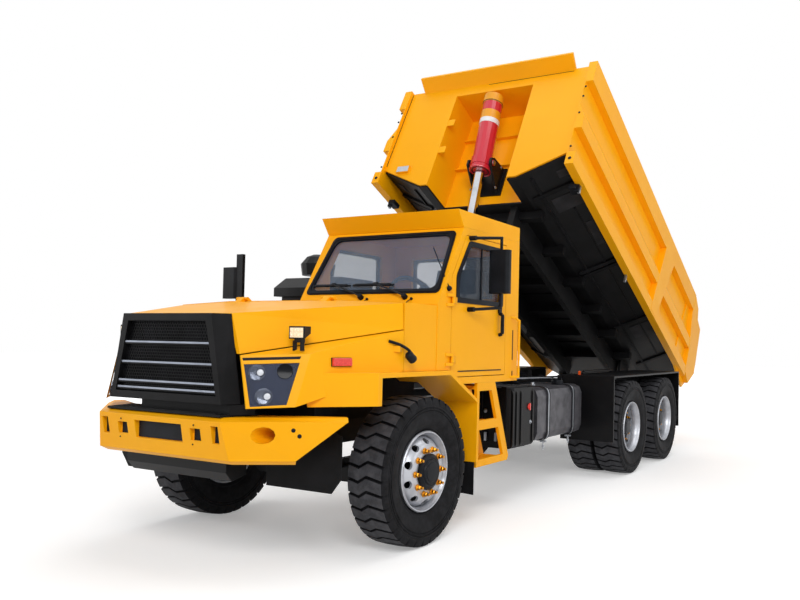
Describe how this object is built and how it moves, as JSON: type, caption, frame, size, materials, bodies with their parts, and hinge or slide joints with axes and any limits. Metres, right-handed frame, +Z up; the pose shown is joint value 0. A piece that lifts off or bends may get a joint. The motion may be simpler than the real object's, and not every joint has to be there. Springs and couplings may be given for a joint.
{
  "type": "mining dump truck",
  "caption": "Offset-cab three-axle mining dump truck, its tipping bed raised on a telescopic front hoist, with steering, rolling wheels, door, hood and tailgate.",
  "frame": {"origin": "on the ground, under the middle of the bounding box", "axes": "+Z up, -Y the direction of travel, +X the truck's left; metres"},
  "size_m": [2.832, 9.3375, 4.8194],
  "materials": {
    "black": "satin paint",
    "fabric": "woven",
    "glass": "clear",
    "iron": "painted",
    "red": "gloss paint",
    "rubber": "matt",
    "steel": "polished",
    "yellow": "gloss paint"
  },
  "bodies": {
    "truck": {"air_cleaner": "black", "battery_box": "black", "bumper": "yellow", "cab_body": "yellow", "cab_roof": "yellow", "cowl": "yellow", "dash": "fabric", "engine": "iron", "fender_left": "yellow", "fender_right": "yellow", "frame": "black", "front_axle": "black", "fuel_tank": "black", "mirror_right": "black", "mudguard_left": "black", "mudguard_right": "black", "rear_bogie": "black", "rear_window": "glass", "seat": "fabric", "side_window": "glass", "skid_beam": "black", "steps": "yellow", "windscreen": "glass"},
    "hood": {"hood": "yellow", "grille": "black"},
    "door": {"door": "yellow", "door_glass": "glass", "mirror_left": "black"},
    "knuckle_left": {"knuckle_left": "black"},
    "knuckle_right": {"knuckle_right": "black"},
    "front_wheel_left": {"front_wheel_left": "rubber"},
    "front_wheel_right": {"front_wheel_right": "rubber"},
    "rear_wheels_1_left": {"rear_wheels_1_left": "rubber"},
    "rear_wheels_1_right": {"rear_wheels_1_right": "rubber"},
    "rear_wheels_2_left": {"rear_wheels_2_left": "rubber"},
    "rear_wheels_2_right": {"rear_wheels_2_right": "rubber"},
    "bed": {"bed_floor": "black", "bed_side_left": "yellow", "bed_side_right": "yellow", "bed_front": "yellow", "trunnion_bracket": "black"},
    "tailgate": {"tailgate": "yellow"},
    "hoist_barrel": {"hoist_barrel": "red"},
    "hoist_stage_1": {"hoist_stage_1": "steel"},
    "hoist_stage_2": {"hoist_stage_2": "steel"},
    "hoist_rod": {"hoist_rod": "steel"}
  },
  "joints": [
    {"name": "steer_left", "type": "hinge", "parent": "truck", "child": "knuckle_left", "pos_m": [0.79, -3.2346, 0.5625], "axis": [0, 0, 1], "range_deg": [-30, 30]},
    {"name": "steer_right", "type": "hinge", "parent": "truck", "child": "knuckle_right", "pos_m": [-0.79, -3.2346, 0.5625], "axis": [0, 0, 1], "range_deg": [-30, 30]},
    {"name": "roll_front_left", "type": "hinge", "parent": "knuckle_left", "child": "front_wheel_left", "pos_m": [1.028, -3.2346, 0.5625], "axis": [1, 0, 0], "continuous": true},
    {"name": "roll_front_right", "type": "hinge", "parent": "knuckle_right", "child": "front_wheel_right", "pos_m": [-1.028, -3.2346, 0.5625], "axis": [1, 0, 0], "continuous": true},
    {"name": "roll_rear_1_left", "type": "hinge", "parent": "truck", "child": "rear_wheels_1_left", "pos_m": [0.919, 0.8754, 0.5625], "axis": [1, 0, 0], "continuous": true},
    {"name": "roll_rear_1_right", "type": "hinge", "parent": "truck", "child": "rear_wheels_1_right", "pos_m": [-0.919, 0.8754, 0.5625], "axis": [1, 0, 0], "continuous": true},
    {"name": "roll_rear_2_left", "type": "hinge", "parent": "truck", "child": "rear_wheels_2_left", "pos_m": [0.919, 2.2554, 0.5625], "axis": [1, 0, 0], "continuous": true},
    {"name": "roll_rear_2_right", "type": "hinge", "parent": "truck", "child": "rear_wheels_2_right", "pos_m": [-0.919, 2.2554, 0.5625], "axis": [1, 0, 0], "continuous": true},
    {"name": "door_hinge", "type": "hinge", "parent": "truck", "child": "door", "pos_m": [1.187, -2.9276, 1.262], "axis": [0, 0, -1], "range_deg": [0, 70]},
    {"name": "hood_hinge", "type": "hinge", "parent": "truck", "child": "hood", "pos_m": [0, -3.5496, 1.858], "axis": [-1, 0, 0], "range_deg": [0, 45]},
    {"name": "bed_tip", "type": "hinge", "parent": "truck", "child": "bed", "pos_m": [0, 3.0154, 1.02], "axis": [-1, 0, 0], "range_deg": [-27, 18]},
    {"name": "tailgate_hinge", "type": "hinge", "parent": "bed", "child": "tailgate", "pos_m": [0, 4.53461, 2.0192], "axis": [1, 0, 0], "range_deg": [0, 60]},
    {"name": "hoist_pivot", "type": "hinge", "parent": "bed", "child": "hoist_barrel", "pos_m": [0, -0.49813, 3.59586], "axis": [-1, 0, 0], "range_deg": [-9.69, 14.54]},
    {"name": "hoist_slide_1", "type": "slide", "parent": "hoist_barrel", "child": "hoist_stage_1", "axis": [0, -0.3035, -0.9528], "range_m": [-0.4508, 0.3007]},
    {"name": "hoist_slide_2", "type": "slide", "parent": "hoist_stage_1", "child": "hoist_stage_2", "axis": [0, -0.3035, -0.9528], "range_m": [-0.7445, 0.4965]},
    {"name": "hoist_slide_3", "type": "slide", "parent": "hoist_stage_2", "child": "hoist_rod", "axis": [0, -0.3035, -0.9528], "range_m": [-0.7641, 0.5096]}
  ],
  "couplings": [
    {"joint": "steer_right", "follows": "steer_left", "ratio": 1},
    {"joint": "hoist_pivot", "follows": "bed_tip", "ratio": -0.538},
    {"joint": "hoist_slide_1", "follows": "bed_tip", "m_per_rad": 0.95565},
    {"joint": "hoist_slide_2", "follows": "bed_tip", "m_per_rad": 1.5789},
    {"joint": "hoist_slide_3", "follows": "bed_tip", "m_per_rad": 1.6204}
  ]
}
